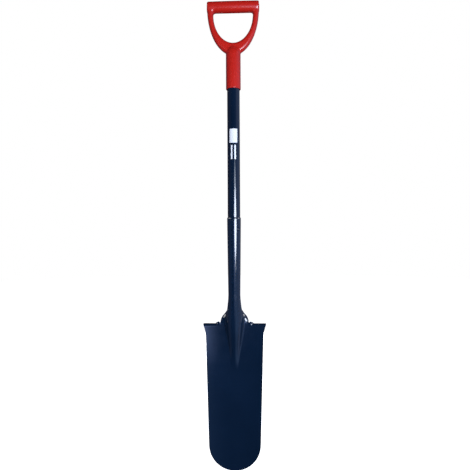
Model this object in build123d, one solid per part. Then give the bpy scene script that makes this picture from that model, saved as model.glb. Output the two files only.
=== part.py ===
from build123d import *
import os
from math import asin, atan, cos, pi, radians, sin, tan

# Narrow drainage spade: a pressed steel blade whose top is rolled into an open-back socket, a
# tubular steel shaft, a moulded D-handle, a through rivet, a handle screw and a wrap-on label.
#
# Heights are laid out from the blade's tip (z = 0) up the shaft's axis (x = y = 0). The front
# faces -Y and X runs across the blade. At the end every piece is moved down by HANG_Z, so that
# the origin is the underside of the crossbar, where the spade hangs on a peg.

# ---- driving dimensions, millimetres ---------------------------------------------------------
SPADE_HEIGHT = 1198.0        # tip to the top of the crossbar

# blade
SHEET = 1.8                  # steel sheet of the blade and the socket
BLADE_TOP = 370.5            # height of the treads
TIP_RADIUS = 66.0            # rounded end of the blade
WAIST_HALF = 74.0            # half-width below the flared corners
WAIST_Z = 335.0
CORNER_HALF = 81.5           # half-width across the treads
DISH_RADIUS = 620.0          # hollow of the blade across its width
CANT = 2.2                   # degrees, how far the tip leans forward

# treads: the blade's top edges folded back as footrests
TREAD_DEPTH = 13.0
TREAD_THICK = 2.4
TREAD_INNER = 48.0           # inner end of each tread, from the centre line
TREAD_SKEW = 2.0             # its ends lean in by this much towards the back
TREAD_CORNER = 3.0

# wings: the edges of the strap between the shoulders and the socket
WING_TOP = (20.8, 400.0)     # half-width and height where a wing passes behind the neck
WING_MID = (31.0, 390.5)
WING_LOW = (36.2, 379.5)
NOTCH = (38.0, 375.0)        # bottom of the relief notch between a wing and a shoulder
SHOULDER_PEAK = (41.8, 377.6)

# ridge, neck and socket; radii are to the middle of the sheet
RIDGE_END_Z = 250.0          # the ridge runs out into the blade here
RIDGE_HALF_END = 10.0
RIDGE_HALF_SHOULDER = 26.2
ARC_SHARE = 0.78             # share of the ridge's half-width that is its convex arc
ROOT_SHARE = 0.28            # root radius beside the neck, as a share of the neck's radius
SHOULDER_Z = 385.0
SHOULDER_PLATE_Y = 8.3       # the blade's plane at the shoulder, behind the shaft's axis
NECK_Z = 450.0
NECK_RADIUS = 14.6
FLARE_Z = 372.0              # the neck's flare ends here, level with the treads
FLARE_RADIUS = 21.1
RIM_Z = 645.0
RIM_RADIUS = 16.8
RIM_EASE = (1.2, 4.0)         # how far and over what height the rim's outer edge is worked down
SPREAD_Z = 405.0             # here the strap's edges come out from behind the neck
SPREAD_ANGLE = 92.0          # degrees, half-angle of the strap's arc there
STRAP_HALF = 41.0            # half-width of the strap there, laid flat
CLOSED_Z = 460.0             # above this height the strap's edges meet at the back
CURL_Z = 440.0               # the edges turn from outwards to inwards between BLADE_TOP and here
SEAM_ANGLE = 2.0             # degrees, half-angle of the seam at the back
PLATE_HALF = 98.0            # half-width of the pressed sheet before it is cut to its outline
PLATE_TOP_Z = 372.0          # the sheet narrows from here up to SPREAD_Z
CUT_DEPTH = 75.0             # the outline cuts this far to the front and the back
SHEET_ROWS = ((-6.0, 1), (240.0, 12), (370.0, 13), (470.0, 20), (RIM_Z + 3, 10))
SHEET_COLUMNS = 44
DENSE_HALF = 55.0            # columns lie closer together within this half-width

# shaft
SHAFT_RADIUS = 16.0
SHAFT_WALL = 1.6
SHAFT_LOW_Z = 492.0          # swaged end inside the blade's socket
SWAGE_STEP = 8.0             # height of the step above the socket's rim
SHAFT_TOP_Z = 1056.0
FIT_GAP = 0.05               # radial gap of a pushed-together fit

# rivet through the socket and the shaft
RIVET_Z = 615.0
RIVET_TURN = 52.0            # degrees from the front towards +X, clear of the seam
RIVET_RADIUS = 2.5
RIVET_HEAD_RADIUS = 5.2
RIVET_HEAD_HEIGHT = 2.2

# D-handle
BAR_RADIUS = 13.5
BAR_SWELL = 0.5              # extra radius at the middle of the bar
BAR_HALF = 66.2
BAR_END_ROUND = 3.0
YOKE_HALF_DEPTH = 10.0       # front to back
YOKE_ROUND = 5.5
OUTER_HALF, OUTER_DROP, OUTER_Z = 66.2, 118.0, 1178.5     # outer ellipse of the D
INNER_HALF, INNER_DROP, INNER_Z = 50.7, 72.6, 1163.8      # opening
OPENING_ROUND = 6.0
GRIP_RADIUS = 18.8           # handle's socket
GRIP_LOW_Z = 972.0
GRIP_DOME_Z = 1060.0
GRIP_DOME_HEIGHT = 23.0
GRIP_LIP_ROUND = 0.9
BORE_SPARE = 1.0             # the blind bore goes this far past the end of the shaft

# screw at the back of the handle's socket
SCREW_Z = 1004.0
SCREW_RADIUS = 2.1
SCREW_LENGTH = 9.0
SCREW_HEAD_RADIUS = 4.4
SCREW_HEAD_HEIGHT = 2.4
SCREW_SEAT_DEPTH = 0.8       # flat seat cut into the handle's wall
SCREW_SEAT_RADIUS = 4.8
SCREW_SLOT = (1.0, 1.1)      # width and depth

# label: a block and two bars, wrapped around the front of the shaft
LABEL_THICK = 0.2
LABEL_BLOCK = (833.5, 869.0, 0.0, 37.5)     # low z, high z, turn to +X and half-angle, degrees
LABEL_BARS = ((792.0, 828.0, -16.0, 7.0), (792.0, 828.0, 16.0, 7.0))

UPRIGHT = (Align.CENTER, Align.CENTER, Align.MIN)
HANGING = (Align.CENTER, Align.CENTER, Align.MAX)
HALVINGS = 30                # steps of the search for a depth on the sheet

BAR_Z = SPADE_HEIGHT - BAR_RADIUS - BAR_SWELL
HANG_Z = BAR_Z - BAR_RADIUS - BAR_SWELL


# ---- the shape of the pressed sheet ----------------------------------------------------------
def ease(t):
    """Goes from 0 to 1, level at both ends."""
    t = min(max(t, 0.0), 1.0)
    return t * t * (3 - 2 * t)


def between(low, high, t):
    return low + (high - low) * t


def plate_y(z):
    """Middle of the blade's sheet beside the ridge."""
    return SHOULDER_PLATE_Y - (SHOULDER_Z - z) * tan(radians(CANT))


def neck_radius(z):
    """Socket, neck, and the flare below the neck."""
    if z < NECK_Z:
        return between(NECK_RADIUS, FLARE_RADIUS, ease((NECK_Z - z) / (NECK_Z - FLARE_Z)))
    return between(NECK_RADIUS, RIM_RADIUS, (z - NECK_Z) / (RIM_Z - NECK_Z))


def front_y(z):
    """Front line of the ridge, the neck and the socket."""
    if z >= SHOULDER_Z:
        return -neck_radius(max(z, NECK_Z))
    rise = 1 - ease((SHOULDER_Z - z) / (SHOULDER_Z - RIDGE_END_Z))
    return plate_y(z) - (plate_y(z) + NECK_RADIUS) * rise


def ridge_section(z):
    """Arc radius, arc half-angle and root radius of the ridge, from its height and width."""
    share = ease((z - RIDGE_END_Z) / (SHOULDER_Z - RIDGE_END_Z))
    half = between(RIDGE_HALF_END, RIDGE_HALF_SHOULDER, share)
    depth = max(plate_y(z) - front_y(z), SHEET / 100)
    angle = 2 * atan(depth / half)
    reach = half / sin(angle)
    return reach * ARC_SHARE, angle, reach * (1 - ARC_SHARE)


def section(z):
    """Arc radius, arc half-angle, root radius, heading past the root, and sheet half-width."""
    closed = pi - radians(SEAM_ANGLE)
    narrow = ease((z - PLATE_TOP_Z) / (SPREAD_Z - PLATE_TOP_Z))
    width = between(PLATE_HALF, STRAP_HALF, narrow)
    end = closed * ease((z - BLADE_TOP) / (CURL_Z - BLADE_TOP))
    if z <= SHOULDER_Z:
        return (*ridge_section(z), end, width)
    root = neck_radius(SPREAD_Z) * ROOT_SHARE
    spread = radians(SPREAD_ANGLE)
    if z <= SPREAD_Z:
        t = ease((z - SHOULDER_Z) / (SPREAD_Z - SHOULDER_Z))
        _, low_angle, low_root = ridge_section(SHOULDER_Z)
        return neck_radius(z), between(low_angle, spread, t), between(low_root, root, t), end, width
    closing = ease((z - SPREAD_Z) / (CLOSED_Z - SPREAD_Z))
    width = between(STRAP_HALF, neck_radius(max(z, CLOSED_Z)) * closed, closing)
    return neck_radius(z), between(spread, closed, closing), root, end, width


def walk(z, s):
    """Point and heading at distance s along the sheet from its front line, at height z."""
    radius, angle, root, end, _ = section(z)
    on_arc = min(s, radius * angle)
    turned = on_arc / radius
    x = radius * sin(turned)
    y = front_y(z) + radius * (1 - cos(turned))
    on_root = min(s - on_arc, root * max(angle - end, 0.0))
    heading = turned - on_root / root
    x += root * (sin(turned) - sin(heading))
    y += root * (cos(heading) - cos(turned))
    s -= on_arc + on_root
    bend = s / DISH_RADIUS
    x += s * cos(heading - bend / 2)
    y += s * sin(heading - bend / 2)
    return x, y, heading - bend


def sheet_point(z, share, offset):
    """Point at column share (-1 to 1) of the section at height z, offset behind its middle."""
    width = section(z)[4]
    dense = min(width, DENSE_HALF)
    x, y, heading = walk(z, dense * abs(share) + (width - dense) * share ** 4)
    x -= offset * sin(heading)
    y += offset * cos(heading)
    return (x if share >= 0 else -x, y, z)


def sheet_y(x, z):
    """Depth of the sheet's middle at distance x from the centre line."""
    low, high = 0.0, PLATE_HALF
    for _ in range(HALVINGS):
        s = (low + high) / 2
        low, high = (s, high) if walk(z, s)[0] < x else (low, s)
    return walk(z, low)[1]


# ---- blade -----------------------------------------------------------------------------------
def sheet_section(z):
    """Closed outline of the sheet's thickness at height z."""
    shares = [2 * i / SHEET_COLUMNS - 1 for i in range(SHEET_COLUMNS + 1)]
    front = [sheet_point(z, share, -SHEET / 2) for share in shares]
    back = [sheet_point(z, -share, SHEET / 2) for share in shares]
    return Wire([Edge.make_spline(front, parameters=shares), Edge.make_line(front[-1], back[0]),
                 Edge.make_spline(back, parameters=shares), Edge.make_line(back[-1], front[0])])


def pressed_sheet():
    """Blade, ridge, wings and rolled socket as one sheet, before it is cut to its outline."""
    rows = [SHEET_ROWS[0][0]]
    for (low, _), (high, count) in zip(SHEET_ROWS, SHEET_ROWS[1:]):
        rows += [between(low, high, (i + 1) / count) for i in range(count)]
    return Solid.make_loft([sheet_section(z) for z in rows])


def blade_outline():
    """Front outline of the blade, the wings and the socket, extruded through the sheet."""
    lean = asin((WAIST_HALF - TIP_RADIUS) / (WAIST_Z - TIP_RADIUS))
    side = (TIP_RADIUS * cos(lean), TIP_RADIUS * (1 - sin(lean)))
    waist = (WAIST_HALF, WAIST_Z)
    rim = (WING_TOP[0], RIM_Z)
    right = [
        Line(side, waist),
        TangentArc(waist, (CORNER_HALF, BLADE_TOP), tangent=(sin(lean), cos(lean))),
        Line((CORNER_HALF, BLADE_TOP), (TREAD_INNER, BLADE_TOP)),
        Line((TREAD_INNER, BLADE_TOP), SHOULDER_PEAK),
        Line(SHOULDER_PEAK, NOTCH),
        Line(NOTCH, WING_LOW),
        ThreePointArc(WING_LOW, WING_MID, WING_TOP),
        Line(WING_TOP, rim),
    ]
    left = [edge.mirror(Plane.YZ) for edge in right]
    tip = ThreePointArc((-side[0], side[1]), (0, 0), side)
    top = Line(rim, (-rim[0], rim[1]))
    return extrude(Plane.XZ * make_face([*right, *left, tip, top]), CUT_DEPTH, both=True)


def tread(side):
    """Footrest folded back from the blade's top edge; side is 1 or -1."""
    middle = (TREAD_INNER + CORNER_HALF) / 2
    front = [(side * x, sheet_y(x, BLADE_TOP)) for x in (TREAD_INNER, middle, CORNER_HALF)]
    back_y = max(y for _, y in front) + TREAD_DEPTH
    back = [(side * (CORNER_HALF - TREAD_SKEW), back_y), (side * (TREAD_INNER + TREAD_SKEW), back_y)]
    rim = [ThreePointArc(*front), Line(front[2], back[0]), Line(*back), Line(back[1], front[0])]
    slab = extrude(Plane.XY.offset(BLADE_TOP - TREAD_THICK) * make_face(rim), TREAD_THICK)
    return fillet(slab.edges().filter_by(Axis.Z).sort_by(Axis.Y)[-2:], TREAD_CORNER)


def rivet_hole():
    return rivet_axis() * Cylinder(RIVET_RADIUS + FIT_GAP, 4 * SHAFT_RADIUS)


def rim_cut():
    """Ring that takes the outer edge off the socket's rim."""
    worn, height = RIM_EASE
    outer = RIM_RADIUS + SHEET / 2
    low = (outer, RIM_Z - height)
    high = (outer - worn, RIM_Z)
    slope = [ThreePointArc(low, (outer - worn / 4, RIM_Z - height / 2), high)]
    slope += [Polyline(high, (outer + SHEET, RIM_Z), (outer + SHEET, RIM_Z - height), low)]
    return revolve(Plane.XZ * make_face(slope), Axis.Z)


def blade():
    return (pressed_sheet() & blade_outline()) + tread(1) + tread(-1) - rivet_hole() - rim_cut()


# ---- shaft and rivet -------------------------------------------------------------------------
def shaft_tube():
    """Straight tube; its lower end is swaged to the taper of the blade's socket."""
    low = neck_radius(SHAFT_LOW_Z) - SHEET / 2 - FIT_GAP
    rim = neck_radius(RIM_Z) - SHEET / 2 - FIT_GAP
    step_z = RIM_Z + SWAGE_STEP
    outside = [(low, SHAFT_LOW_Z), (rim, RIM_Z), (SHAFT_RADIUS, step_z), (SHAFT_RADIUS, SHAFT_TOP_Z)]
    inside = [(r - SHAFT_WALL, z) for r, z in reversed(outside)]
    wall = make_face(Polyline(*outside, *inside, close=True))
    tube = revolve(Plane.XZ * wall, Axis.Z)
    return tube - rivet_hole() - screw_hole()


def rivet_axis():
    """Frame at the middle of the rivet, its Z along the rivet towards the front."""
    turn = radians(RIVET_TURN)
    return Plane((0, 0, RIVET_Z), x_dir=(0, 0, 1), z_dir=(sin(turn), -cos(turn), 0))


def socket_rivet():
    """Domed heads at both ends of a shank, seated on the socket's taper."""
    low = neck_radius(RIVET_Z - RIVET_HEAD_RADIUS) + SHEET / 2
    high = neck_radius(RIVET_Z + RIVET_HEAD_RADIUS) + SHEET / 2
    seat = Pos(0, 0, RIVET_Z) * Cone(low, high, 2 * RIVET_HEAD_RADIUS)
    base = SHAFT_RADIUS * cos(asin(RIVET_HEAD_RADIUS / SHAFT_RADIUS))
    edge = low + RIVET_HEAD_HEIGHT / 4
    crown = low + RIVET_HEAD_HEIGHT
    half = [Line((0, base), (RIVET_HEAD_RADIUS, base)),
            Line((RIVET_HEAD_RADIUS, base), (RIVET_HEAD_RADIUS, edge)),
            RadiusArc((RIVET_HEAD_RADIUS, edge), (0, crown), -dome_radius(RIVET_HEAD_RADIUS, crown - edge)),
            Line((0, crown), (0, base))]
    head = revolve(Plane.XZ * make_face(half), Axis.Z)
    heads = rivet_axis() * (head + head.rotate(Axis.X, 180)) - seat
    return heads + rivet_axis() * Cylinder(RIVET_RADIUS, 2 * low)


def dome_radius(half_width, height):
    """Radius of the ball whose cap has this half-width and height."""
    return (half_width ** 2 + height ** 2) / (2 * height)


# ---- D-handle and its screw ------------------------------------------------------------------
def d_face(half, drop, centre_z, top_z):
    """Half-ellipse below its centre with straight sides up to top_z, in the XZ plane."""
    arc = EllipticalCenterArc((0, centre_z), half, drop, start_angle=180, arc_size=180)
    sides = Polyline((half, centre_z), (half, top_z), (-half, top_z), (-half, centre_z))
    return make_face([arc, sides])


def yoke():
    """Both arms and the fork between them, around the opening."""
    outside = d_face(OUTER_HALF, OUTER_DROP, OUTER_Z, BAR_Z)
    opening = d_face(INNER_HALF, INNER_DROP, INNER_Z, HANG_Z)
    opening = fillet(opening.vertices().sort_by(Axis.Y)[-2:], OPENING_ROUND)
    ring = extrude(Plane.XZ * (outside - opening), YOKE_HALF_DEPTH, both=True)
    faces = ring.faces().filter_by(Axis.Y)
    return fillet(faces.edges(), YOKE_ROUND)


def crossbar():
    """Slightly barrelled bar with rounded ends."""
    swell = ThreePointArc((-BAR_HALF, BAR_RADIUS), (0, BAR_RADIUS + BAR_SWELL), (BAR_HALF, BAR_RADIUS))
    ends = Polyline((-BAR_HALF, BAR_RADIUS), (-BAR_HALF, 0), (BAR_HALF, 0), (BAR_HALF, BAR_RADIUS))
    bar = revolve(make_face([swell, ends]), Axis.X)
    rims = bar.edges().filter_by(GeomType.CIRCLE)
    return Pos(0, 0, BAR_Z) * fillet(rims, BAR_END_ROUND)


def d_handle():
    """Crossbar, yoke and a blind socket with a domed end, moulded in one piece."""
    grip = Pos(0, 0, (GRIP_LOW_Z + GRIP_DOME_Z) / 2) * Cylinder(GRIP_RADIUS, GRIP_DOME_Z - GRIP_LOW_Z)
    grip = fillet(grip.edges().sort_by(Axis.Z)[0], GRIP_LIP_ROUND)
    cap = [EllipticalCenterArc((0, GRIP_DOME_Z), GRIP_RADIUS, GRIP_DOME_HEIGHT, arc_size=90),
           Polyline((0, GRIP_DOME_Z + GRIP_DOME_HEIGHT), (0, GRIP_DOME_Z), (GRIP_RADIUS, GRIP_DOME_Z))]
    dome = revolve(Plane.XZ * make_face(cap), Axis.Z)
    depth = SHAFT_TOP_Z + BORE_SPARE - GRIP_LOW_Z
    bore = Pos(0, 0, GRIP_LOW_Z + depth / 2) * Cylinder(SHAFT_RADIUS + FIT_GAP, depth)
    seat_y = GRIP_RADIUS - SCREW_SEAT_DEPTH
    seat = screw_frame(seat_y) * Cylinder(SCREW_SEAT_RADIUS, GRIP_RADIUS, align=UPRIGHT)
    return yoke() + crossbar() + grip + dome - bore - seat - screw_hole()


def screw_frame(y):
    """Frame on the screw's axis at depth y, its Z pointing backwards."""
    return Plane((0, y, SCREW_Z), x_dir=(1, 0, 0), z_dir=(0, 1, 0))


def screw_hole():
    return screw_frame(0) * Cylinder(SCREW_RADIUS + FIT_GAP, 2 * GRIP_RADIUS, align=UPRIGHT)


def handle_screw():
    """Domed slotted screw through the handle's wall into the shaft."""
    seat_y = GRIP_RADIUS - SCREW_SEAT_DEPTH
    edge = SCREW_HEAD_HEIGHT / 3
    crown = SCREW_HEAD_HEIGHT
    half = [Polyline((0, crown), (0, 0), (SCREW_HEAD_RADIUS, 0), (SCREW_HEAD_RADIUS, edge)),
            RadiusArc((SCREW_HEAD_RADIUS, edge), (0, crown), -dome_radius(SCREW_HEAD_RADIUS, crown - edge))]
    head = revolve(Plane.XZ * make_face(half), Axis.Z)
    width, depth = SCREW_SLOT
    slot = Pos(0, 0, crown) * Box(width, 3 * SCREW_HEAD_RADIUS, 2 * depth)
    shank = Cylinder(SCREW_RADIUS, SCREW_LENGTH, align=HANGING)
    return screw_frame(seat_y) * (head - slot + shank)


# ---- label -----------------------------------------------------------------------------------
def label_patch(low_z, high_z, turn, half_angle):
    """Thin patch wrapped on the shaft."""
    middle = radians(turn - 90)
    half = radians(half_angle)

    def at(radius, angle):
        return (radius * cos(angle), radius * sin(angle))

    inner, outer = SHAFT_RADIUS, SHAFT_RADIUS + LABEL_THICK
    ends = (middle - half, middle + half)
    rim = [ThreePointArc(at(r, ends[0]), at(r, middle), at(r, ends[1])) for r in (inner, outer)]
    rim += [Line(at(inner, end), at(outer, end)) for end in ends]
    return extrude(Plane.XY.offset(low_z) * make_face(rim), high_z - low_z)


def shaft_label():
    return Compound([label_patch(*patch) for patch in (LABEL_BLOCK, *LABEL_BARS)])


# ---- export ----------------------------------------------------------------------------------
PIECES = {
    "blade": blade,
    "shaft_tube": shaft_tube,
    "socket_rivet": socket_rivet,
    "d_handle": d_handle,
    "handle_screw": handle_screw,
    "shaft_label": shaft_label,
}

os.makedirs("parts", exist_ok=True)
for name, make in PIECES.items():
    export_step(make().moved(Location((0, 0, -HANG_Z))), f"parts/{name}.step")
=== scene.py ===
import bpy
import numpy as np
from itertools import product
from math import asin, atan, atan2, cos, hypot, pi, radians, sin, tan
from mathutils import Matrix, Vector


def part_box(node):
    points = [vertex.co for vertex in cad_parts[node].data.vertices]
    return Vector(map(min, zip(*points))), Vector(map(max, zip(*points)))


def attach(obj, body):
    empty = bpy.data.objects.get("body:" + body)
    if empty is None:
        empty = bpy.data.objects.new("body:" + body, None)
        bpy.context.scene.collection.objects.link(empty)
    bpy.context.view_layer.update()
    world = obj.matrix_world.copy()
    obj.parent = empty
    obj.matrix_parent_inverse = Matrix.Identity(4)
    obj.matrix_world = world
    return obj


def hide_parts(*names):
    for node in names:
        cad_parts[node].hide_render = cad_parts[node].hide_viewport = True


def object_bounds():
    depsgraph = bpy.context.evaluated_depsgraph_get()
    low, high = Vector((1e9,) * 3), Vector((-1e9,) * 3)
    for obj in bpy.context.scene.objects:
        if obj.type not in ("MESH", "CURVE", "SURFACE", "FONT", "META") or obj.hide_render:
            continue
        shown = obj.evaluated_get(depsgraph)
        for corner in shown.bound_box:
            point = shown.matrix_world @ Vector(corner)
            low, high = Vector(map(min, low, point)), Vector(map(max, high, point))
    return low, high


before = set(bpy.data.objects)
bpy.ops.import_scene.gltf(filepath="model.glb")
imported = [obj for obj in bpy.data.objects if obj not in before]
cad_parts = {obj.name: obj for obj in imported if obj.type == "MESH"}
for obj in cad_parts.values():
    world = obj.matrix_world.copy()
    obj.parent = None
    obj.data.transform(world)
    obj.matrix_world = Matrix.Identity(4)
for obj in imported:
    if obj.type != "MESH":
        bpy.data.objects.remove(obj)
CAD_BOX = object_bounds()

# Lengths are in millimetres and heights are above the blade's tip, unless a comment says otherwise.
# at() turns a point into the frame's metres.
MM = 0.001
TIP_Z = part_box("blade")[0][2]
HEIGHT = (CAD_BOX[1][2] - TIP_Z) / MM

# ---- blade, ridge, neck and socket: the same shape as the CAD model's sheet ------------------
SHEET = 1.8
BLADE_TOP = 370.5
TIP_RADIUS = 66.0
WAIST_HALF = 74.0             # half-width where the sides begin to sweep out to the corners
WAIST_Z = 335.0
CORNER_HALF = 81.5
DISH_RADIUS = 620.0
CANT = 2.2                    # degrees between plate and shaft, with the tip to the front
SHOULDER_Z = 385.0
SHOULDER_PLATE_Y = 8.3        # the plate's place behind the shaft's axis at the shoulders
RIDGE_END_Z = 250.0
RIDGE_HALF_END = 10.0
RIDGE_HALF_SHOULDER = 26.2
ARC_SHARE = 0.78              # share of the round front in the sum of its radius and the root's
ROOT_SHARE = 0.28             # root radius as a share of the neck's radius
NECK_Z = 450.0
NECK_RADIUS = 14.6
FLARE_Z = 372.0
FLARE_RADIUS = 21.1
RIM_Z = (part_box("blade")[1][2] - TIP_Z) / MM
RIM_RADIUS = 16.8
SPREAD_Z = 405.0              # the neck starts to roll shut here, and is shut at CLOSED_Z
SPREAD_ANGLE = 92.0
CLOSED_Z = 460.0
CURL_Z = 440.0                # the sheet past the root turns from BLADE_TOP up to here
STRAP_HALF = 41.0             # half-width of the flat strap that is rolled into the neck
SEAM_ANGLE = 2.0
WING_LOW = (36.2, 379.5)
WING_MID = (31.0, 390.5)
WING_TOP = (20.8, 400.0)

# treads, and the upright corner of the plate beside each wing's relief notch
BEND_RADIUS = 3.0
FOLD_Z = BLADE_TOP - SHEET / 2 - BEND_RADIUS
TREAD_DEPTH = 12.5
UPRIGHT_TO = 42.5             # from here outwards the flange turns from upright to fully folded
FOLDED_FROM = 50.0
TREAD_FROM = 50.5
WING_FOOT = 36.9
NOTCH_Z = 375.2               # bottom of the notch
# places of the corner's columns and the length of sheet above the fold at each
CORNER_COLUMNS = ((38.6, 9.0), (40.0, 10.0), (41.8, 11.0), (43.6, 9.4), (46.0, 9.8), (48.4, 11.6))

# edges
EDGE_ROUND = 0.55
RIM_EASE_DEPTH = 1.2
RIM_EASE_HEIGHT = 4.0
SHARP_ANGLE = radians(50)     # an edge that turns by more than this is rounded

# rows and columns of the sheet's mesh
TIP_ROWS_Z = 120.0            # the rows follow the rounded tip below this height
PLAIN_ROWS_Z = 240.0          # the rows are wide apart up to this height
NECK_ROWS_Z = 470.0
TIP_ROWS = 22
PLAIN_ROWS = 12
RIDGE_ROWS = 54
NOTCH_ROWS = 10
NECK_ROWS = 60
SOCKET_ROWS = 24
RIM_ROWS = 5
TIP_CROWDING = 0.35           # spacing of the tip's first rows as a share of the even spacing
STRAP_COLUMNS = 44
EDGE_COLUMNS = 9
EDGE_SMOOTHINGS = 6           # rounds of smoothing along the strap's edge
REACH_LIMIT = 110.0           # no place on the sheet is further than this along it
HALVINGS = 30                 # steps of the search for such a place


def ease(t):
    t = min(max(t, 0.0), 1.0)
    return t * t * (3 - 2 * t)


def between(low, high, t):
    return low + (high - low) * t


def levels(low, high, count):
    """Evenly spaced values above low, the last of them high."""
    return [between(low, high, (i + 1) / count) for i in range(count)]


def plate_y(z):
    """Place of the plate's middle beside the ridge."""
    return SHOULDER_PLATE_Y - (SHOULDER_Z - z) * tan(radians(CANT))


def neck_radius(z):
    """Radius of the sheet's middle in the neck and the socket."""
    if z < NECK_Z:
        return between(NECK_RADIUS, FLARE_RADIUS, ease((NECK_Z - z) / (NECK_Z - FLARE_Z)))
    return between(NECK_RADIUS, RIM_RADIUS, (z - NECK_Z) / (RIM_Z - NECK_Z))


def front_y(z):
    """Place of the sheet's middle on the centre line, from the ridge up to the socket."""
    if z >= SHOULDER_Z:
        return -neck_radius(max(z, NECK_Z))
    rise = 1 - ease((SHOULDER_Z - z) / (SHOULDER_Z - RIDGE_END_Z))
    return plate_y(z) - (plate_y(z) + NECK_RADIUS) * rise


def ridge_section(z):
    """Arc radius, arc half-angle and root radius of the ridge's section."""
    share = ease((z - RIDGE_END_Z) / (SHOULDER_Z - RIDGE_END_Z))
    half = between(RIDGE_HALF_END, RIDGE_HALF_SHOULDER, share)
    depth = max(plate_y(z) - front_y(z), SHEET / 100)
    angle = 2 * atan(depth / half)
    radii = half / sin(angle)
    return radii * ARC_SHARE, angle, radii * (1 - ARC_SHARE)


def section(z):
    """Arc radius, arc half-angle, root radius and heading past the root, as in the CAD model."""
    closed = pi - radians(SEAM_ANGLE)
    end = closed * ease((z - BLADE_TOP) / (CURL_Z - BLADE_TOP))
    if z <= SHOULDER_Z:
        return (*ridge_section(z), end)
    root = neck_radius(SPREAD_Z) * ROOT_SHARE
    spread = radians(SPREAD_ANGLE)
    if z <= SPREAD_Z:
        t = ease((z - SHOULDER_Z) / (SPREAD_Z - SHOULDER_Z))
        _, low_angle, low_root = ridge_section(SHOULDER_Z)
        return neck_radius(z), between(low_angle, spread, t), between(low_root, root, t), end
    closing = ease((z - SPREAD_Z) / (CLOSED_Z - SPREAD_Z))
    return neck_radius(z), between(spread, closed, closing), root, end


def strap_half(z):
    """Half-width of the strap along the sheet, above its wings."""
    closed = pi - radians(SEAM_ANGLE)
    closing = ease((z - SPREAD_Z) / (CLOSED_Z - SPREAD_Z))
    return between(STRAP_HALF, neck_radius(max(z, CLOSED_Z)) * closed, closing)


def walk(z, s):
    """Point of the sheet's middle at distance s along it from its front line, at height z."""
    radius, angle, root, end = section(z)
    on_arc = min(s, radius * angle)
    turned = on_arc / radius
    x = radius * sin(turned)
    y = front_y(z) + radius * (1 - cos(turned))
    on_root = min(s - on_arc, root * max(angle - end, 0.0))
    heading = turned - on_root / root
    x += root * (sin(turned) - sin(heading))
    y += root * (cos(heading) - cos(turned))
    s -= on_arc + on_root
    bend = s / DISH_RADIUS
    return x + s * cos(heading - bend / 2), y + s * sin(heading - bend / 2)


def reach(x, z):
    """Distance along the sheet at which it is x from the centre line."""
    low, high = 0.0, REACH_LIMIT
    for _ in range(HALVINGS):
        s = (low + high) / 2
        low, high = (s, high) if walk(z, s)[0] < x else (low, s)
    return low


def outline_half(z):
    """Half-width of the blade between its rounded tip and the shoulders."""
    lean = asin((WAIST_HALF - TIP_RADIUS) / (WAIST_Z - TIP_RADIUS))
    low_x, low_z = TIP_RADIUS * cos(lean), TIP_RADIUS * (1 - sin(lean))
    if z <= WAIST_Z:
        return between(low_x, WAIST_HALF, max(z - low_z, 0.0) / (WAIST_Z - low_z))
    chord = atan2(CORNER_HALF - WAIST_HALF, BLADE_TOP - WAIST_Z)
    radius = hypot(CORNER_HALF - WAIST_HALF, BLADE_TOP - WAIST_Z) / 2 / sin(chord - lean)
    turn = asin(min((z - WAIST_Z) / radius + sin(lean), 1.0))
    return WAIST_HALF + radius * (cos(lean) - cos(turn))


def circle_through(a, b, c):
    """Centre and radius of the circle through three points."""
    (ax, ay), (bx, by), (cx, cy) = a, b, c
    d = 2 * (ax * (by - cy) + bx * (cy - ay) + cx * (ay - by))
    a2, b2, c2 = ax * ax + ay * ay, bx * bx + by * by, cx * cx + cy * cy
    ux = (a2 * (by - cy) + b2 * (cy - ay) + c2 * (ay - by)) / d
    uy = (a2 * (cx - bx) + b2 * (ax - cx) + c2 * (bx - ax)) / d
    return ux, uy, hypot(ax - ux, ay - uy)


WING = circle_through(WING_LOW, WING_MID, WING_TOP)


def strap_edge(z):
    """Distance along the sheet to the edge of the strap, from its foot up to the rim."""
    if z >= WING_TOP[1]:
        return strap_half(z)
    if z <= WING_LOW[1]:
        x = between(WING_FOOT, WING_LOW[0], (z - FOLD_Z) / (WING_LOW[1] - FOLD_Z))
        return reach(x, z)
    centre_x, centre_z, radius = WING
    return reach(centre_x + max(radius ** 2 - (z - centre_z) ** 2, 0.0) ** 0.5, z)


# ---- mesh helpers ----------------------------------------------------------------------------
def at(x, y, z):
    """Point in the frame's metres."""
    return (x * MM, y * MM, TIP_Z + z * MM)


def mesh_object(name, points, faces, smooth=True):
    mesh = bpy.data.meshes.new(name)
    mesh.from_pydata([tuple(p) for p in points], [], [tuple(f) for f in faces])
    mesh.update()
    mesh.validate()
    obj = bpy.data.objects.new(name, mesh)
    bpy.context.scene.collection.objects.link(obj)
    if smooth:
        mesh.shade_smooth()
    return obj


def apply_modifiers(obj):
    """Bakes the modifiers into the mesh."""
    graph = bpy.context.evaluated_depsgraph_get()
    baked = bpy.data.meshes.new_from_object(obj.evaluated_get(graph))
    obj.modifiers.clear()
    obj.data = baked
    return obj


def add_modifier(obj, kind, **settings):
    modifier = obj.modifiers.new(kind.title(), kind)
    for key, value in settings.items():
        setattr(modifier, key, value)


# ---- blade -----------------------------------------------------------------------------------
class Sheet:
    """The middle surface of the pressed sheet as one mesh, built row by row."""

    def __init__(self):
        self.points = []
        self.faces = []

    def row(self, points):
        """Adds a row of points and returns their indices."""
        start = len(self.points)
        self.points += [at(*p) for p in points]
        return list(range(start, len(self.points)))

    def stitch(self, low, high):
        """Fills the gap between two rows of as many points."""
        for i in range(len(low) - 1):
            self.faces.append([low[i], low[i + 1], high[i + 1], high[i]])


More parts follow.
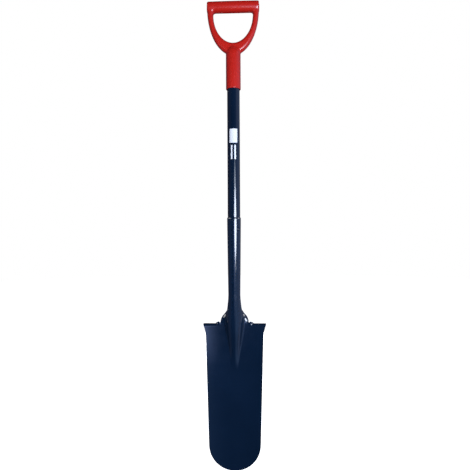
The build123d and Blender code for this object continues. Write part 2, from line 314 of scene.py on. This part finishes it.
def column_shares():
    """Shares of the half-width at the fold for the columns from the centre to the side."""
    whole = reach(outline_half(FOLD_Z), FOLD_Z)
    foot = reach(WING_FOOT, FOLD_Z) / whole
    shares = [foot * i / STRAP_COLUMNS for i in range(STRAP_COLUMNS + 1)]
    shares += [reach(x, FOLD_Z) / whole for x, _ in CORNER_COLUMNS]
    start = reach(TREAD_FROM, FOLD_Z) / whole
    crowding = [sin(pi / 2 * i / EDGE_COLUMNS) for i in range(EDGE_COLUMNS + 1)]
    return shares + [between(start, 1.0, t) for t in crowding]


def tip_edge(share):
    """Height of the rounded tip's edge at a share of the half-width."""
    return TIP_RADIUS * (1 - max(1 - share * share, 0.0) ** 0.5)


def plate_row(shares, heights):
    """One row of the blade's right half, at shares of its half-width and the heights there."""
    return [(*walk(z, share * reach(outline_half(z), z)), z) for share, z in zip(shares, heights)]


def mirror_row(points):
    """The whole row from the right half, without doubling the point on the centre line."""
    return [(-x, y, z) for x, y, z in reversed(points[1:])] + points


def blade_sheet():
    sheet = Sheet()
    shares = column_shares()
    rows = []
    for i in range(TIP_ROWS + 1):
        t = i / TIP_ROWS * between(TIP_CROWDING, 1.0, i / TIP_ROWS)
        rows.append(plate_row(shares, [between(tip_edge(share), TIP_ROWS_Z, t) for share in shares]))
    for z in levels(TIP_ROWS_Z, PLAIN_ROWS_Z, PLAIN_ROWS) + levels(PLAIN_ROWS_Z, FOLD_Z, RIDGE_ROWS):
        rows.append(plate_row(shares, [z] * len(shares)))
    last = None
    for points in rows:
        row = sheet.row(mirror_row(points))
        if last:
            sheet.stitch(last, row)
        last = row
    centre = len(shares) - 1
    edges = strap(sheet, last[centre - STRAP_COLUMNS:centre + STRAP_COLUMNS + 1])
    for side in (1, -1):
        columns = [last[centre + side * i] for i in range(STRAP_COLUMNS + 1, len(shares))]
        flange(sheet, columns, side, edges[side])
    return sheet


def strap(sheet, foot):
    """Wings, neck and socket, rolled from the middle columns of the plate's top row.

    Returns the right and left edge's points from the foot up to the bottom of the notch."""
    heights = levels(FOLD_Z, NOTCH_Z, NOTCH_ROWS)
    heights += levels(NOTCH_Z, NECK_ROWS_Z, NECK_ROWS)
    heights += levels(NECK_ROWS_Z, RIM_Z - RIM_EASE_HEIGHT, SOCKET_ROWS)
    heights += levels(RIM_Z - RIM_EASE_HEIGHT, RIM_Z, RIM_ROWS)
    edges = np.array([strap_edge(z) for z in [FOLD_Z] + heights])
    for _ in range(EDGE_SMOOTHINGS):
        edges[1:-1] = (edges[:-2] + 2 * edges[1:-1] + edges[2:]) / 4
    rows = [foot]
    for z, edge in zip(heights, edges[1:]):
        half = [(*walk(z, edge * i / STRAP_COLUMNS), z) for i in range(STRAP_COLUMNS + 1)]
        rows.append(sheet.row(mirror_row(half)))
        sheet.stitch(rows[-2], rows[-1])
    beside_notch = rows[:NOTCH_ROWS + 1]
    return {1: [row[-1] for row in beside_notch], -1: [row[0] for row in beside_notch]}


def flange(sheet, foot, side, strap_edge_row):
    """The plate's top edge: an upright corner beside the notch, folded back into a tread outwards."""
    start = [Vector(sheet.points[i]) / MM for i in foot]
    back_y = max(p.y for p in start) + TREAD_DEPTH
    corner = abs(start[-1].x)
    last = foot
    for k in range(1, NOTCH_ROWS + 2):
        points = []
        for i, p in enumerate(start):
            x = abs(p.x)
            fold = pi / 2 * ease((x - UPRIGHT_TO) / (FOLDED_FROM - UPRIGHT_TO))
            length = BEND_RADIUS * (pi / 2 - 1) + back_y - p.y
            if i < len(CORNER_COLUMNS):
                length = CORNER_COLUMNS[i][1]
            path = length * k / (NOTCH_ROWS + 1)
            turned = min(path / BEND_RADIUS, fold)
            straight = path - BEND_RADIUS * turned
            y = p.y + BEND_RADIUS * (1 - cos(turned)) + straight * sin(turned)
            z = FOLD_Z + BEND_RADIUS * sin(turned) + straight * cos(turned)
            flare = (CORNER_HALF - SHEET / 4 - corner) * ease(path / (BEND_RADIUS * pi / 2))
            x += flare * max(x - TREAD_FROM, 0.0) / (corner - TREAD_FROM)
            points.append((side * x, y, z))
        row = sheet.row(points)
        low, high = last, row
        if k <= NOTCH_ROWS:
            low, high = [strap_edge_row[k - 1]] + low, [strap_edge_row[k]] + high
        if side < 0:
            low, high = low[::-1], high[::-1]
        sheet.stitch(low, high)
        last = row


def wear_rim(mesh):
    """Draws the outside of the socket in towards its rim, as worked down by the press."""
    for vertex in mesh.vertices:
        z = (vertex.co.z - TIP_Z) / MM
        t = min((z - RIM_Z + RIM_EASE_HEIGHT) / RIM_EASE_HEIGHT, 1.0)
        inner = neck_radius(z) - SHEET / 2
        radius = hypot(vertex.co.x, vertex.co.y) / MM
        if t > 0 and radius > inner:
            edge_factor = 1 - RIM_EASE_DEPTH / SHEET * t * t
            share = (inner + (radius - inner) * edge_factor) / radius
            vertex.co.x *= share
            vertex.co.y *= share


def make_blade():
    sheet = blade_sheet()
    blade = mesh_object("blade_sheet", sheet.points, sheet.faces)
    add_modifier(blade, "SOLIDIFY", thickness=SHEET * MM, offset=0.0, use_even_offset=True,
                 use_quality_normals=True)
    add_modifier(blade, "BEVEL", width=EDGE_ROUND * MM, segments=3, limit_method="ANGLE",
                 angle_limit=SHARP_ANGLE, harden_normals=False)
    apply_modifiers(blade)
    wear_rim(blade.data)
    return blade


# ---- lathed pieces ---------------------------------------------------------------------------
def lathe(name, profile, segments=128):
    """Closed ring of a profile of (radius, height) points turned about the shaft's axis."""
    points, faces = [], []
    n = len(profile)
    for k in range(segments):
        angle = 2 * pi * k / segments
        points += [at(r * sin(angle), -r * cos(angle), z) for r, z in profile]
    for k in range(segments):
        a, b = k * n, (k + 1) % segments * n
        for i in range(n):
            j = (i + 1) % n
            faces.append((a + i, b + i, b + j, a + j))
    return mesh_object(name, points, faces)


SHAFT_RADIUS = 16.0
SHAFT_WALL = 1.6
SHAFT_LOW_Z = (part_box("shaft_tube")[0][2] - TIP_Z) / MM
SHAFT_TOP_Z = (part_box("shaft_tube")[1][2] - TIP_Z) / MM
SHAFT_EDGE_ROUND = 0.3
SWAGE_STEP = 8.0              # length over which the tube widens above the socket's rim
SWAGE_ROWS = 12
SHAFT_ROWS = 40
FIT_GAP = 0.05


def make_shaft():
    low = neck_radius(SHAFT_LOW_Z) - SHEET / 2 - FIT_GAP
    rim = neck_radius(RIM_Z) - SHEET / 2 - FIT_GAP
    start = RIM_Z + SWAGE_STEP
    outside = [(low, SHAFT_LOW_Z)]
    outside += zip(levels(low, rim, SWAGE_ROWS), levels(SHAFT_LOW_Z, RIM_Z, SWAGE_ROWS))
    outside += [(SHAFT_RADIUS, z) for z in [start] + levels(start, SHAFT_TOP_Z, SHAFT_ROWS)]
    inside = [(r - SHAFT_WALL, z) for r, z in reversed(outside)]
    shaft = lathe("shaft_steel_tube", outside + inside)
    add_modifier(shaft, "BEVEL", width=SHAFT_EDGE_ROUND * MM, segments=2, limit_method="ANGLE",
                 angle_limit=SHARP_ANGLE)
    return apply_modifiers(shaft)


# ---- D-handle as a rounded solid, drawn from its distance field ------------------------------
BAR_RADIUS = 13.5
BAR_SWELL = 0.5               # extra radius in the middle of the bar
BAR_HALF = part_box("d_handle")[1][0] / MM
BAR_Z = HEIGHT - BAR_RADIUS - BAR_SWELL
BAR_END_ROUND = 3.0
# half-width, drop of the half-ellipse and height of its centre
OUTER = (66.2, 118.0, 1178.5)
INNER = (50.7, 72.6, 1163.8)
OUTER_TOP_Z = BAR_Z + 3.0     # hidden inside the bar
OUTER_ROUND = 1.0
OPENING_TOP_Z = BAR_Z - BAR_RADIUS - BAR_SWELL
OPENING_ROUND = 7.0
OPENING_BLEND = 2.0
YOKE_HALF_DEPTH = 10.0
YOKE_THICKENING = 1.5         # the yoke gets this much deeper, on each side, up to the bar
YOKE_THICKENS_FROM = 1120.0
YOKE_THICKENS_OVER = 60.0
YOKE_ROUND = 9.0
BAR_BLEND = 3.5
GRIP_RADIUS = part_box("d_handle")[1][1] / MM
GRIP_LOW_Z = (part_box("d_handle")[0][2] - TIP_Z) / MM
GRIP_DOME_Z = 1060.0
GRIP_DOME_HEIGHT = 23.0
GRIP_END_ROUND = 1.0
GRIP_BLEND = 4.0
GRIP_BORE = SHAFT_RADIUS + FIT_GAP
BORE_SPARE = 1.0              # room in the bore above the tube's end
BORE_BLEND = 0.8
SCREW_Z = ((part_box("handle_screw")[0][2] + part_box("handle_screw")[1][2]) / 2 - TIP_Z) / MM
SCREW_SEAT_DEPTH = 0.8
SCREW_SEAT_RADIUS = 4.8
HANDLE_CELL = 1.15
HANDLE_MARGIN = 3.0
SMALLEST = 1e-9               # keeps a division by a zero length away


def smooth_union(a, b, blend):
    """Both solids together, with a fillet of about the blend's size where they meet."""
    share = np.clip(0.5 + 0.5 * (b - a) / blend, 0, 1)
    return b + (a - b) * share - blend * share * (1 - share)


def smooth_cut(a, b, blend):
    """a without b, with a rounded edge."""
    return -smooth_union(-a, b, blend)


def rounded(across, along, radius):
    """Distance to the corner-rounded overlap of two slabs given by their distances."""
    u, v = across + radius, along + radius
    return np.minimum(np.maximum(u, v), 0) + np.hypot(np.maximum(u, 0), np.maximum(v, 0)) - radius


def ellipse_distance(x, z, half, drop):
    """Close to the distance from an ellipse about the origin."""
    scaled = np.hypot(x / half, z / drop) + SMALLEST
    slope = np.hypot(x / half ** 2, z / drop ** 2) + SMALLEST
    return scaled * (scaled - 1) / slope


def d_distance(x, z, half, drop, centre_z, top_z, corner):
    """Half-ellipse below centre_z with straight sides up to top_z and rounded top corners."""
    below = ellipse_distance(x, z - centre_z, half, drop)
    return rounded(np.where(z < centre_z, below, np.abs(x) - half), z - top_z, corner)


def handle_distance(x, y, z):
    """Close to the distance from the D-handle's surface, negative inside it."""
    outer = d_distance(x, z, *OUTER, OUTER_TOP_Z, OUTER_ROUND)
    inner = d_distance(x, z, *INNER, OPENING_TOP_Z, OPENING_ROUND)
    ring = smooth_cut(outer, inner, OPENING_BLEND)
    thickening = YOKE_THICKENING * np.clip((z - YOKE_THICKENS_FROM) / YOKE_THICKENS_OVER, 0, 1)
    yoke = rounded(ring, np.abs(y) - YOKE_HALF_DEPTH - thickening, YOKE_ROUND)
    swell = BAR_SWELL * (1 - (x / BAR_HALF) ** 2)
    bar_across = np.hypot(y, z - BAR_Z) - BAR_RADIUS - swell
    bar = rounded(bar_across, np.abs(x) - BAR_HALF, BAR_END_ROUND)
    solid = smooth_union(yoke, bar, BAR_BLEND)
    side = np.hypot(x, y)
    dome = ellipse_distance(side, np.maximum(z - GRIP_DOME_Z, 0), GRIP_RADIUS, GRIP_DOME_HEIGHT)
    grip_side = np.where(z > GRIP_DOME_Z, dome, side - GRIP_RADIUS)
    solid = smooth_union(solid, rounded(grip_side, GRIP_LOW_Z - z, GRIP_END_ROUND), GRIP_BLEND)
    bore = np.maximum(side - GRIP_BORE, z - SHAFT_TOP_Z - BORE_SPARE)
    solid = smooth_cut(solid, bore, BORE_BLEND)
    seat_side = np.hypot(x, z - SCREW_Z) - SCREW_SEAT_RADIUS
    seat = np.maximum(seat_side, GRIP_RADIUS - SCREW_SEAT_DEPTH - y)
    return np.maximum(solid, -seat)


def crossing_points(field, inside, grid):
    """Sum and number of the zero crossings on the edges of each cell of the grid."""
    cells = np.array(field.shape) - 1
    total = np.zeros((3, *cells))
    count = np.zeros(cells)
    ends = [slice(None, -1), slice(1, None)]
    for axis in range(3):
        others = [i for i in range(3) if i != axis]
        for a, b in product((0, 1), repeat=2):
            start = [ends[0]] * 3
            start[others[0]] = ends[a]
            start[others[1]] = ends[b]
            end = list(start)
            end[axis] = ends[1]
            start, end = tuple(start), tuple(end)
            crossing = inside[start] != inside[end]
            gap = np.where(crossing, field[start] - field[end], 1.0)
            t = np.where(crossing, field[start] / gap, 0.0)
            for i in range(3):
                point = between(grid[i][start], grid[i][end], t)
                total[i] += np.where(crossing, point, 0.0)
            count += crossing
    return total, count


def crossing_faces(inside, index):
    """A quad across each inner edge of the grid that crosses the surface, facing outwards."""
    faces = []
    for axis in range(3):
        others = [i for i in range(3) if i != axis]
        low_side = [slice(1, -1)] * 3
        high_side = [slice(1, -1)] * 3
        low_side[axis] = slice(0, -1)
        high_side[axis] = slice(1, None)
        start, end = inside[tuple(low_side)], inside[tuple(high_side)]
        place = np.argwhere(start != end)
        leaving = start[tuple(place.T)]
        base = place + 1
        base[:, axis] -= 1
        ring = []
        for a, b in ((0, 0), (1, 0), (1, 1), (0, 1)):
            cell_at = base.copy()
            cell_at[:, others[0]] -= a
            cell_at[:, others[1]] -= b
            ring.append(index[tuple(cell_at.T)])
        quads = np.stack(ring, 1)
        # the ring of cells runs the other way round about the middle axis
        flip = leaving if axis == 1 else ~leaving
        quads[flip] = quads[flip][:, ::-1]
        faces.append(quads)
    return np.concatenate(faces)


def surface_net(distance, low, high, cell):
    """Quad mesh of the zero surface of distance in the box low to high, on a grid of cell."""
    axes = [np.arange(a, b + cell, cell) for a, b in zip(low, high)]
    grid = np.stack(np.meshgrid(*axes, indexing="ij"))
    field = distance(*grid)
    inside = field < 0
    total, count = crossing_points(field, inside, grid)
    used = count > 0
    index = np.full(count.shape, -1)
    index[used] = np.arange(used.sum())
    points = np.stack([total[i][used] / count[used] for i in range(3)], 1)
    return points, crossing_faces(inside, index)


def settle(distance, points, rounds=4, step=0.05, least_slope=0.2, furthest=0.4):
    """Moves points onto the zero surface of distance."""
    for _ in range(rounds):
        value = distance(*points.T)
        slope = np.stack([distance(*(points + step * np.eye(3)[i]).T) - value for i in range(3)], 1) / step
        steepness = np.maximum((slope ** 2).sum(1), least_slope)
        points = points - np.clip(slope * (value / steepness)[:, None], -furthest, furthest)
    return points


def make_handle():
    low = (-BAR_HALF, -GRIP_RADIUS, GRIP_LOW_Z)
    high = (BAR_HALF, GRIP_RADIUS, HEIGHT)
    points, faces = surface_net(handle_distance, [v - HANDLE_MARGIN for v in low],
                                [v + HANDLE_MARGIN for v in high], HANDLE_CELL)
    points = settle(handle_distance, points)
    return mesh_object("d_handle_moulding", [at(*p) for p in points], faces)


# ---- materials -------------------------------------------------------------------------------
WHITE = (1.0, 1.0, 1.0)
DRIFT_SCALE = 9.0             # slow change of colour over the whole object
SMEAR_SCALE = 34.0            # patches of higher and lower gloss
SKIN_SCALE = 260.0
GRAIN_SCALE = 2400.0
DRIFT_RANGE = (0.3, 0.7)      # noise values that are spread from the darkest to the lightest
SMEAR_RANGE = (0.3, 0.75)
# sharp, pointed edges are mixed part way towards a lighter edge colour
EDGE_POINTINESS = (0.53, 0.62)
EDGE_LIGHTENING = 0.5


def new_tree(owner):
    """The empty node tree of a material or a world."""
    owner.use_nodes = True
    owner.node_tree.nodes.clear()
    return owner.node_tree


def noise(tree, coords, scale, detail=3.0, roughness=0.5):
    node = tree.nodes.new("ShaderNodeTexNoise")
    node.inputs["Scale"].default_value = scale
    node.inputs["Detail"].default_value = detail
    node.inputs["Roughness"].default_value = roughness
    tree.links.new(coords, node.inputs["Vector"])
    return node.outputs["Fac"]


def ramp(tree, value, low, high, dark, light):
    """Maps value in low..high onto dark..light, numbers or colours."""
    node = tree.nodes.new("ShaderNodeMapRange")
    node.inputs["From Min"].default_value = low
    node.inputs["From Max"].default_value = high
    tree.links.new(value, node.inputs["Value"])
    if not isinstance(dark, tuple):
        node.inputs["To Min"].default_value = dark
        node.inputs["To Max"].default_value = light
        return node.outputs["Result"]
    return mix_colour(tree, node.outputs["Result"], dark, light)


def mix_colour(tree, factor, base, top):
    """Colour from base to top by a factor; base is a colour or the socket of one."""
    mix = tree.nodes.new("ShaderNodeMix")
    mix.data_type = "RGBA"
    tree.links.new(factor, mix.inputs["Factor"])
    if isinstance(base, tuple):
        mix.inputs["A"].default_value = (*base, 1)
    else:
        tree.links.new(base, mix.inputs["A"])
    mix.inputs["B"].default_value = (*top, 1)
    return mix.outputs["Result"]


def bump(tree, height, distance, under=None):
    """Normal that follows a height in steps of the distance, on top of another one."""
    node = tree.nodes.new("ShaderNodeBump")
    node.inputs["Strength"].default_value = 1.0
    node.inputs["Distance"].default_value = distance
    tree.links.new(height, node.inputs["Height"])
    if under is not None:
        tree.links.new(under, node.inputs["Normal"])
    return node.outputs["Normal"]


def finish_material(name, dark, light, edge, rough, peel, peel_scale=SKIN_SCALE, grain=0.0,
                    ior=1.5, metallic=0.0):
    """Paint, plastic or metal with drifting colour and gloss, a fine skin and lighter edges."""
    material = bpy.data.materials.new(name)
    tree = new_tree(material)
    coords = tree.nodes.new("ShaderNodeTexCoord").outputs["Object"]
    shader = tree.nodes.new("ShaderNodeBsdfPrincipled")
    output = tree.nodes.new("ShaderNodeOutputMaterial")
    tree.links.new(shader.outputs["BSDF"], output.inputs["Surface"])
    colour = ramp(tree, noise(tree, coords, DRIFT_SCALE, 4.0), *DRIFT_RANGE, dark, light)
    pointiness = tree.nodes.new("ShaderNodeNewGeometry").outputs["Pointiness"]
    # the sharpest edges are mixed half way towards the lighter edge colour
    edge_factor = ramp(tree, pointiness, *EDGE_POINTINESS, 0.0, EDGE_LIGHTENING)
    tree.links.new(mix_colour(tree, edge_factor, colour, edge), shader.inputs["Base Color"])
    smear = noise(tree, coords, SMEAR_SCALE, 5.0, 0.6)
    tree.links.new(ramp(tree, smear, *SMEAR_RANGE, *rough), shader.inputs["Roughness"])
    skin = bump(tree, noise(tree, coords, peel_scale, 2.0), peel * MM)
    if grain:
        skin = bump(tree, noise(tree, coords, GRAIN_SCALE, 2.0), grain * MM, skin)
    tree.links.new(skin, shader.inputs["Normal"])
    shader.inputs["IOR"].default_value = ior
    shader.inputs["Metallic"].default_value = metallic
    return material


def give(obj, material):
    obj.data.materials.clear()
    obj.data.materials.append(material)


# ---- build -----------------------------------------------------------------------------------
enamel = finish_material("navy_enamel", dark=(0.0016, 0.0070, 0.0195), light=(0.0023, 0.0088, 0.0245),
                         edge=(0.009, 0.018, 0.042), rough=(0.09, 0.15), peel=0.0012, peel_scale=140.0)
red = finish_material("red_plastic", dark=(0.246, 0.0070, 0.0043), light=(0.266, 0.0080, 0.0050),
                      edge=(0.32, 0.015, 0.009), rough=(0.22, 0.28), peel=0.0014, grain=0.0003, ior=1.45)
zinc = finish_material("zinc_steel", dark=(0.42, 0.42, 0.41), light=(0.58, 0.58, 0.57),
                       edge=(0.8, 0.8, 0.8), rough=(0.25, 0.4), peel=0.004, metallic=1.0)
label_film = finish_material("label_film", dark=(0.54, 0.56, 0.60), light=(0.60, 0.62, 0.66),
                             edge=(0.66, 0.68, 0.72), rough=(0.3, 0.4), peel=0.002)

blade = make_blade()
shaft = make_shaft()
handle = make_handle()
for piece, node, slot, material in (
        (blade, "blade", "blade_enamel", enamel),
        (shaft, "shaft_tube", "shaft_enamel", enamel),
        (handle, "d_handle", "handle_plastic", red)):
    give(piece, material)
    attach(piece, "root")
    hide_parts(node)
for node, material in (("socket_rivet", enamel), ("handle_screw", zinc), ("shaft_label", label_film)):
    give(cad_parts[node], material)

# ---- studio, in metres and degrees -----------------------------------------------------------
EYE_HEIGHT = 0.600
CAMERA_DISTANCE = 1.215
CAMERA_TURN = 2.5             # towards +X
CAMERA_ROLL = -0.27
CAMERA_SHIFT = 0.002
VIEW_WIDTH = 1.2032           # at the shaft
SENSOR = 36.0                 # millimetres
FLOOR_GAP = 0.012
FLOOR_RADIUS = 6.0
FLOOR_SEGMENTS = 96
FLOOR_SCALE = 3.0
FLOOR_DARK = (0.88, 0.88, 0.88)
FLOOR_LIGHT = (0.92, 0.92, 0.92)
FLOOR_ROUGHNESS = 0.8
# colours of the surroundings, and the parts of a direction over which they fade into each other
DARK_FRONT = (0.020, 0.022, 0.030)
REAR_ASIDE = (0.11, 0.11, 0.16)
RIGHT_SIDE = (0.40, 0.47, 0.68)
LEFT_SIDE = (0.10, 0.10, 0.15)
REAR_FADE = (0.4, 0.8)
ASIDE_FADE = (0.02, 0.12)
SIDE_FADE = (0.62, 0.85)
# soft patches of the surroundings: azimuth, rise, radius, falloff and colour
GLOWS = ((6.0, -2.0, 16.0, 13.0, (3.6, 4.9, 9.2)),
         (34.0, -18.0, 34.0, 1.5, (0.36, 0.56, 0.95)))


def aim(obj, target):
    obj.rotation_euler = (Vector(target) - obj.location).to_track_quat("-Z", "Y").to_euler()


def make_camera():
    """Level camera at eye height, a little to the right of the front."""
    data = bpy.data.cameras.new("camera")
    camera = bpy.data.objects.new("camera", data)
    bpy.context.scene.collection.objects.link(camera)
    turn = radians(CAMERA_TURN)
    eye_z = TIP_Z + EYE_HEIGHT
    camera.location = (CAMERA_DISTANCE * sin(turn), -CAMERA_DISTANCE * cos(turn), eye_z)
    aim(camera, (0, 0, eye_z))
    bpy.context.view_layer.update()
    camera.rotation_euler.rotate_axis("Z", radians(CAMERA_ROLL))
    data.sensor_width = SENSOR
    data.lens = SENSOR * CAMERA_DISTANCE / VIEW_WIDTH
    data.shift_x = CAMERA_SHIFT
    bpy.context.scene.camera = camera


def softbox(name, azimuth, distance, height, size, power, aim_height=None, shape="ELLIPSE",
            colour=WHITE, glossy=True, only=None):
    """Area light aimed at the shaft; azimuth from the front towards +X, heights above the tip."""
    data = bpy.data.lights.new(name, "AREA")
    data.shape = shape
    data.color = colour
    data.size, data.size_y = size
    data.energy = power
    light = bpy.data.objects.new(name, data)
    bpy.context.scene.collection.objects.link(light)
    turn = radians(azimuth)
    light.location = (distance * sin(turn), -distance * cos(turn), TIP_Z + height)
    aim(light, (0, 0, TIP_Z + (height if aim_height is None else aim_height)))
    light.visible_glossy = glossy
    if only:
        lit = bpy.data.collections.new(name + "_lit")
        lit.objects.link(only)
        light.light_linking.receiver_collection = lit


def math_node(tree, operation, *values):
    """Result of an operation on sockets and numbers."""
    node = tree.nodes.new("ShaderNodeMath")
    node.operation = operation
    for socket, value in zip(node.inputs, values):
        if isinstance(value, float):
            socket.default_value = value
        else:
            tree.links.new(value, socket)
    return node.outputs[0]


def add_glow(tree, direction, around, azimuth, rise, radius, falloff, colour):
    """The surroundings with a soft bright patch in front, seen in the enamel."""
    turn, rise = radians(azimuth), radians(rise)
    toward = tree.nodes.new("ShaderNodeVectorMath")
    toward.operation = "DOT_PRODUCT"
    toward.inputs[1].default_value = (sin(turn) * cos(rise), -cos(turn) * cos(rise), sin(rise))
    tree.links.new(direction, toward.inputs[0])
    near = ramp(tree, toward.outputs["Value"], cos(radians(radius)), 1.0, 0.0, 1.0)
    return mix_colour(tree, math_node(tree, "POWER", near, falloff), around, colour)


def make_world():
    """Plain white to the camera; to the object dark, with paler sides and a few soft patches."""
    world = bpy.data.worlds.new("studio")
    bpy.context.scene.world = world
    tree = new_tree(world)
    direction = tree.nodes.new("ShaderNodeTexCoord").outputs["Generated"]
    split = tree.nodes.new("ShaderNodeSeparateXYZ")
    tree.links.new(direction, split.inputs[0])
    across = split.outputs["X"]
    behind = ramp(tree, split.outputs["Y"], *REAR_FADE, 0.0, 1.0)
    aside = ramp(tree, math_node(tree, "MULTIPLY", across, across), *ASIDE_FADE, 0.0, 1.0)
    rear_aside = math_node(tree, "MULTIPLY", behind, aside)
    around = ramp(tree, rear_aside, 0.0, 1.0, DARK_FRONT, REAR_ASIDE)
    for side, colour in ((1, RIGHT_SIDE), (-1, LEFT_SIDE)):
        beside = ramp(tree, across, *(side * x for x in SIDE_FADE), 0.0, 1.0)
        around = mix_colour(tree, beside, around, colour)
    for glow in GLOWS:
        around = add_glow(tree, direction, around, *glow)
    path = tree.nodes.new("ShaderNodeLightPath")
    colour = mix_colour(tree, path.outputs["Is Camera Ray"], around, WHITE)
    background = tree.nodes.new("ShaderNodeBackground")
    tree.links.new(colour, background.inputs["Color"])
    output = tree.nodes.new("ShaderNodeOutputWorld")
    tree.links.new(background.outputs[0], output.inputs[0])


def make_floor():
    """Plain pale floor just under the tip; it shows white and adds no reflection."""
    turns = [2 * pi * i / FLOOR_SEGMENTS for i in range(FLOOR_SEGMENTS)]
    ring = [(FLOOR_RADIUS * cos(turn), FLOOR_RADIUS * sin(turn), TIP_Z - FLOOR_GAP) for turn in turns]
    floor = mesh_object("floor", ring, [range(FLOOR_SEGMENTS)], smooth=False)
    material = bpy.data.materials.new("pale_floor")
    tree = new_tree(material)
    shader = tree.nodes.new("ShaderNodeBsdfPrincipled")
    output = tree.nodes.new("ShaderNodeOutputMaterial")
    coords = tree.nodes.new("ShaderNodeTexCoord").outputs["Object"]
    tone = ramp(tree, noise(tree, coords, FLOOR_SCALE), *DRIFT_RANGE, FLOOR_DARK, FLOOR_LIGHT)
    tree.links.new(tone, shader.inputs["Base Color"])
    shader.inputs["Roughness"].default_value = FLOOR_ROUGHNESS
    shader.inputs["Emission Color"].default_value = (*WHITE, 1)
    shader.inputs["Emission Strength"].default_value = 1.0
    tree.links.new(shader.outputs["BSDF"], output.inputs["Surface"])
    give(floor, material)
    floor.visible_glossy = False
    floor.visible_diffuse = False


make_camera()
make_world()
make_floor()
softbox("key", 26.0, 1.6, 0.645, (1.0, 0.45), 34.0, colour=(0.78, 0.855, 1.0))
softbox("key_top", 22.0, 1.6, 0.89, (0.60, 0.30), 2.7, colour=(0.68, 0.82, 1.0))
softbox("left_far", -80.0, 8.0, 3.4, (7.5, 2.8), 430.0, aim_height=0.39, shape="RECTANGLE", only=blade)
softbox("right_far", 90.0, 8.0, 3.4, (5.6, 3.2), 330.0, aim_height=0.39, shape="RECTANGLE", only=blade)
softbox("fill", -30.0, 1.8, 0.95, (1.2, 0.8), 13.0, aim_height=1.0, glossy=False)
softbox("side", 80.0, 1.6, 0.95, (1.0, 0.8), 4.0, aim_height=1.0, glossy=False)
softbox("low", 10.0, 1.8, 0.45, (1.0, 0.6), 27.0, aim_height=1.1, glossy=False, only=handle)
softbox("rear", 180.0, 1.8, 0.7, (1.4, 1.4), 26.0, glossy=False)
bpy.context.scene.view_settings.view_transform = "Standard"
